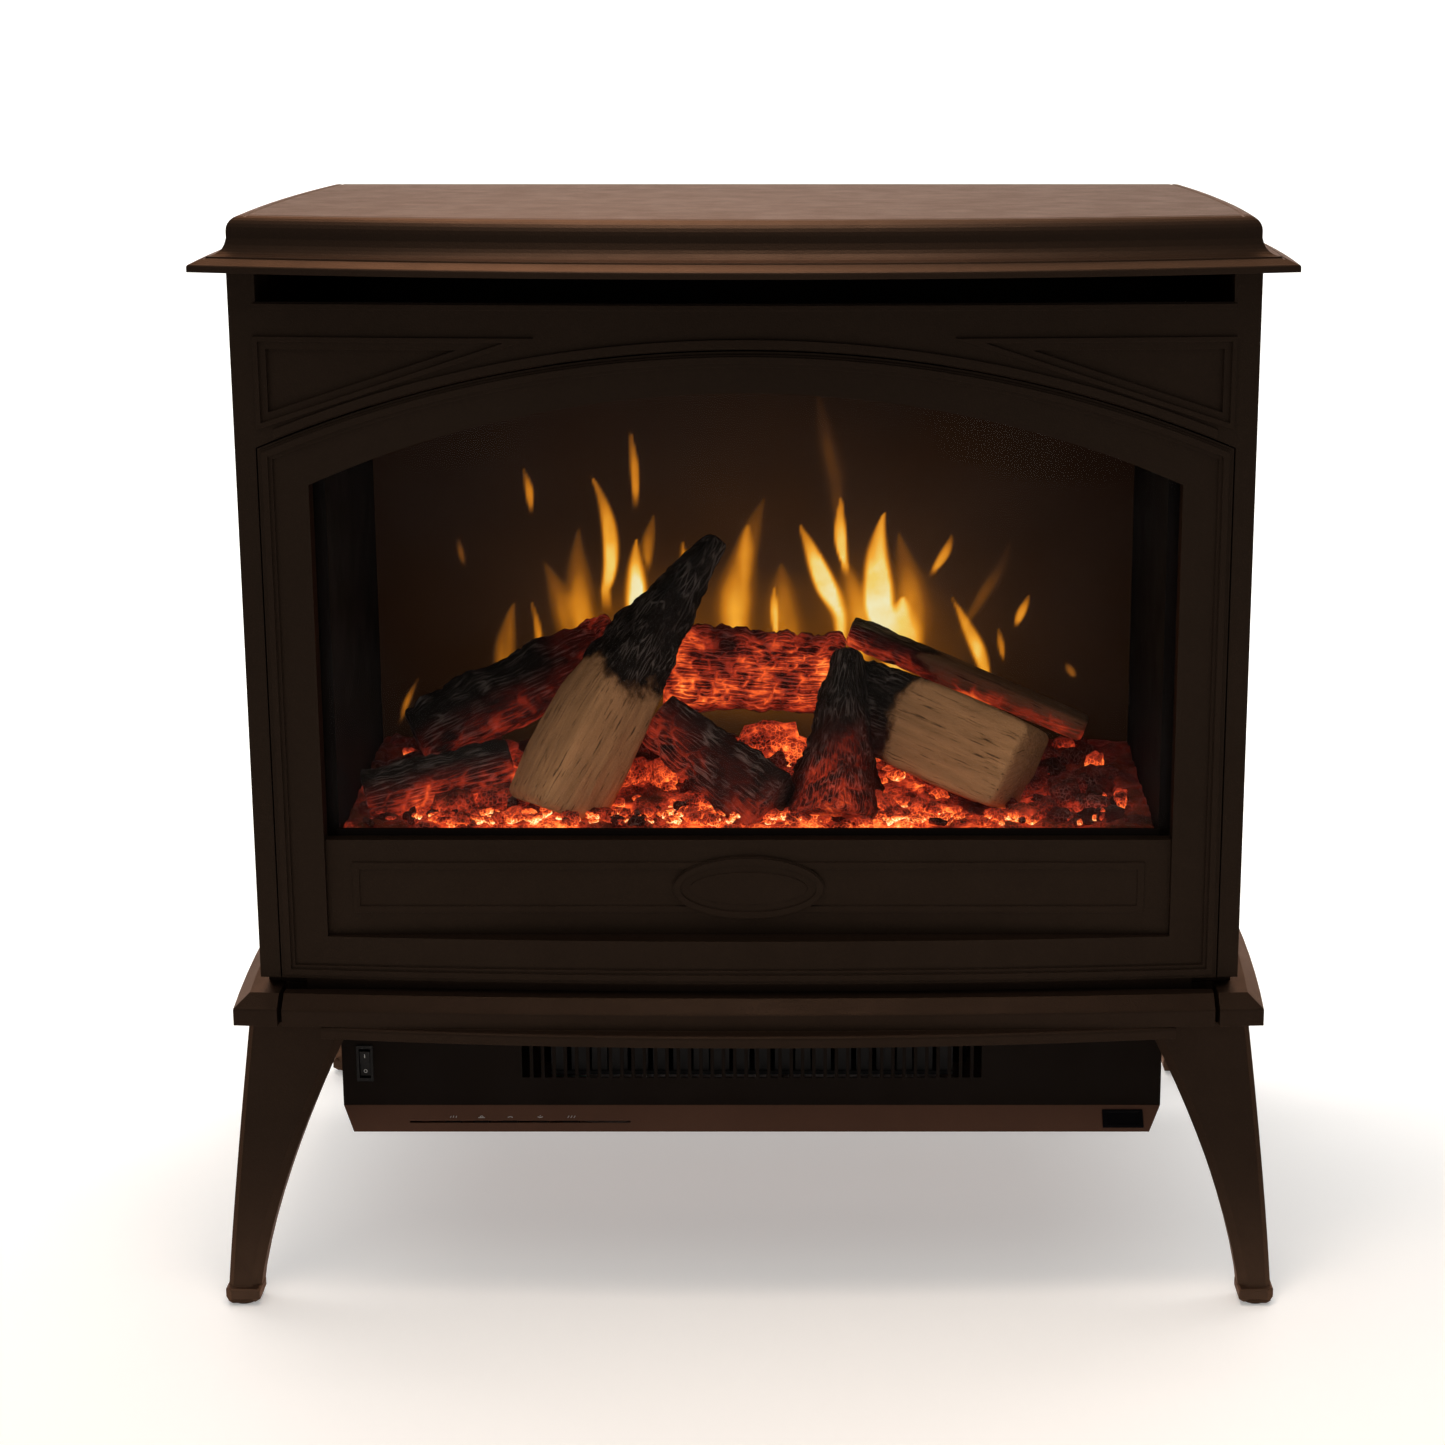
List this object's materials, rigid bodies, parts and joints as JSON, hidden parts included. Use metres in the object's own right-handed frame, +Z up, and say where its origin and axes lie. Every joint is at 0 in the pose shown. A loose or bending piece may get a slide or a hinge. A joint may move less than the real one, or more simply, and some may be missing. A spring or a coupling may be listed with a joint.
{
  "type": "electric fireplace stove",
  "caption": "Freestanding cast stove on four sabre legs with an arched glazed front, log-effect firebox and a slotted fan heater under the base.",
  "frame": {"origin": "centre of the bounding box at floor level, where the feet stand", "axes": "+X to the right seen from the front, +Y towards the back, +Z up; the front faces -Y"},
  "size_m": [0.796, 0.552, 0.814],
  "materials": {
    "cast_paint": "dark bronze textured stove paint, matt",
    "cast_front": "dark bronze textured stove paint, matt",
    "black_sheet": "black matt heat-resisting paint",
    "heater_sheet": "black-brown matt powder coat",
    "ledge_paint": "bronze satin powder coat",
    "panel_steel": "dark grey-brown powder-coated sheet",
    "clear_glass": "clear flat glass",
    "screen_tint": "smoked brown translucent screen",
    "ember_resin": "translucent cast resin lit from below",
    "log_pale": "painted resin, split wood",
    "log_char": "painted resin, charred bark",
    "log_red": "painted translucent resin, glowing cracks",
    "zinc_steel": "zinc-plated",
    "bolt_black": "black oxide",
    "rubber_black": "matt",
    "black_plastic": "fine-grained moulded plastic",
    "window_plastic": "dark infrared-clear plastic",
    "white_plastic": "natural nylon",
    "board_green": "solder mask",
    "bright_aluminium": "mill finish",
    "ceramic": "dark glazed ceramic and mica"
  },
  "bodies": {
    "stove": {"top_plate": "cast_paint", "front_surround": "cast_front", "side_panel_left": "cast_front", "side_panel_right": "cast_front", "back_panel": "panel_steel", "base_plate": "cast_paint", "leg_front_left": "cast_paint", "leg_front_right": "cast_paint", "leg_back_left": "cast_paint", "leg_back_right": "cast_paint", "foot_glides": "rubber_black", "leg_bolts": "bolt_black", "peg_sockets": "black_plastic", "glass_pane": "clear_glass", "glass_retainers": "black_sheet", "firebox_shell": "black_sheet", "flame_screen": "screen_tint", "screen_clips": "black_sheet", "ember_bed": "ember_resin", "log_leaning": "log_pale", "log_split": "log_pale", "log_thin": "log_char", "log_upright": "log_char", "log_left": "log_char", "log_back": "log_red", "log_centre": "log_red", "log_low": "log_red", "ember_lights": "board_green", "flame_mask": "bright_aluminium", "flame_lights": "board_green", "flicker_motor": "zinc_steel", "spindle_bearing": "white_plastic", "heater_case": "heater_sheet", "outlet_panel": "heater_sheet", "inlet_panel": "heater_sheet", "control_tray": "ledge_paint", "switch_housing": "black_plastic", "receiver_window": "window_plastic", "control_board": "board_green", "blower_housing": "black_sheet", "blower_motor": "zinc_steel", "blower_bearing": "rubber_black", "heating_element": "ceramic", "thermal_cutout": "ceramic", "cord_inlet": "rubber_black", "tray_screws": "bolt_black", "back_screws": "zinc_steel"},
    "front": {"front_frame": "cast_front", "front_apron": "cast_paint", "inset_panel": "cast_front", "locating_pegs": "zinc_steel"},
    "rocker": {"power_rocker": "black_plastic"},
    "key_a": {"key_1": "black_plastic"},
    "key_b": {"key_2": "black_plastic"},
    "key_c": {"key_3": "black_plastic"},
    "key_d": {"key_4": "black_plastic"},
    "key_e": {"key_5": "black_plastic"},
    "spindle": {"flicker_spindle": "bright_aluminium"},
    "wheel": {"blower_wheel": "black_plastic"}
  },
  "joints": [
    {"name": "front_pull", "type": "slide", "parent": "stove", "child": "front", "axis": [0, -1, 0], "range_m": [0, 0.2]},
    {"name": "power_switch", "type": "hinge", "parent": "stove", "child": "rocker", "pos_m": [-0.303, -0.129, 0.155], "axis": [1, 0, 0], "range_deg": [-16, 0]},
    {"name": "flicker_spin", "type": "hinge", "parent": "stove", "child": "spindle", "pos_m": [0, 0.098, 0.385], "axis": [1, 0, 0], "continuous": true},
    {"name": "blower_spin", "type": "hinge", "parent": "stove", "child": "wheel", "pos_m": [0, -0.02, 0.168], "axis": [1, 0, 0], "continuous": true},
    {"name": "key_1_press", "type": "slide", "parent": "stove", "child": "key_a", "axis": [0, 0.7071, -0.7071], "range_m": [0, 0.001], "stiffness_N_per_m": 400},
    {"name": "key_2_press", "type": "slide", "parent": "stove", "child": "key_b", "axis": [0, 0.7071, -0.7071], "range_m": [0, 0.001], "stiffness_N_per_m": 400},
    {"name": "key_3_press", "type": "slide", "parent": "stove", "child": "key_c", "axis": [0, 0.7071, -0.7071], "range_m": [0, 0.001], "stiffness_N_per_m": 400},
    {"name": "key_4_press", "type": "slide", "parent": "stove", "child": "key_d", "axis": [0, 0.7071, -0.7071], "range_m": [0, 0.001], "stiffness_N_per_m": 400},
    {"name": "key_5_press", "type": "slide", "parent": "stove", "child": "key_e", "axis": [0, 0.7071, -0.7071], "range_m": [0, 0.001], "stiffness_N_per_m": 400}
  ]
}
